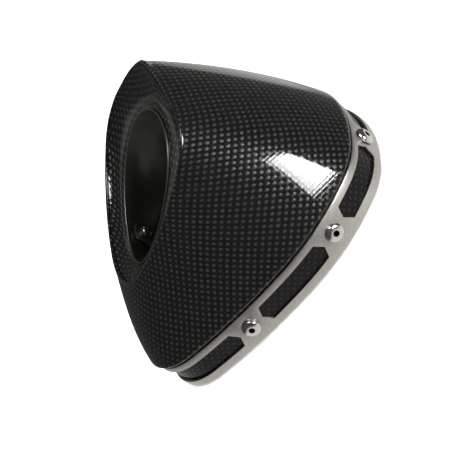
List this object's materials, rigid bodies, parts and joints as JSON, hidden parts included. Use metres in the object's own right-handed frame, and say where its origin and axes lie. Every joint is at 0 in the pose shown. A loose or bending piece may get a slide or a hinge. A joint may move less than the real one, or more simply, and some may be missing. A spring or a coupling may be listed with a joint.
{
  "type": "exhaust muffler end cap",
  "caption": "Tapered carbon-fibre outlet cap of a motorcycle muffler, with a slanted mouth, metal clamp band with long windows, blind rivets, outlet sleeve and removable noise insert",
  "frame": {"origin": "middle of the cap's box, on the plane of the clamp band's rear edge, which it stands on", "axes": "+Z along the exhaust axis from the band to the outlet, +Y from the narrow keel to the broad roof of the section, +X across it"},
  "size_m": [0.1336, 0.1424, 0.098],
  "materials": {
    "shell_carbon": "clear-coated plain-weave carbon fibre",
    "funnel_carbon": "clear-coated plain-weave carbon fibre, dished mouth",
    "liner_foil": "heat-reflecting foil",
    "band_steel": "satin, warm grey",
    "rivet_steel": "bright, polished head",
    "backing_steel": "plain rolled strip",
    "plate_steel": "pressed sheet, slightly heat tinted",
    "gasket_fibre": "graphite fibre sheet",
    "sleeve_steel": "dark heat-stained, bright lip",
    "seal_rubber": "heat-proof silicone",
    "lagging_glass": "woven glass fibre",
    "seat_steel": "turned, heat stained",
    "insert_steel": "dark heat-stained sheet",
    "screw_steel": "dark stainless"
  },
  "bodies": {
    "cap": {"outer_shell": "shell_carbon", "heat_liner": "liner_foil", "mouth_funnel": "funnel_carbon", "clamp_band": "band_steel", "blind_rivet_01": "rivet_steel", "blind_rivet_02": "rivet_steel", "blind_rivet_03": "rivet_steel", "blind_rivet_04": "rivet_steel", "blind_rivet_05": "rivet_steel", "blind_rivet_06": "rivet_steel", "backing_ring": "backing_steel", "end_plate": "plate_steel", "body_gasket": "gasket_fibre", "outlet_sleeve": "sleeve_steel", "sleeve_seal": "seal_rubber", "sleeve_lagging": "lagging_glass", "insert_seat": "seat_steel"},
    "insert": {"insert_collar": "insert_steel", "screw_tab": "insert_steel", "insert_cone": "insert_steel", "perforated_tube": "insert_steel", "insert_end_cap": "insert_steel", "lock_nut": "screw_steel"},
    "screw_carrier": {"lock_washer": "screw_steel"},
    "screw": {"lock_screw": "screw_steel"}
  },
  "joints": [
    {"name": "insert_slide", "type": "slide", "parent": "cap", "child": "insert", "axis": [0, 0, 1], "range_m": [0, 0.07]},
    {"name": "lock_screw_travel", "type": "slide", "parent": "insert", "child": "screw_carrier", "axis": [0.6561, 0.7547, 0], "range_m": [0, 0.00205]},
    {"name": "lock_screw_turn", "type": "hinge", "parent": "screw_carrier", "child": "screw", "pos_m": [-0.01319, -0.02217, 0.0502], "axis": [0.6561, 0.7547, 0], "range_deg": [0, 1440]}
  ],
  "couplings": [
    {"joint": "lock_screw_travel", "follows": "lock_screw_turn", "m_per_rad": 0.000079577}
  ]
}
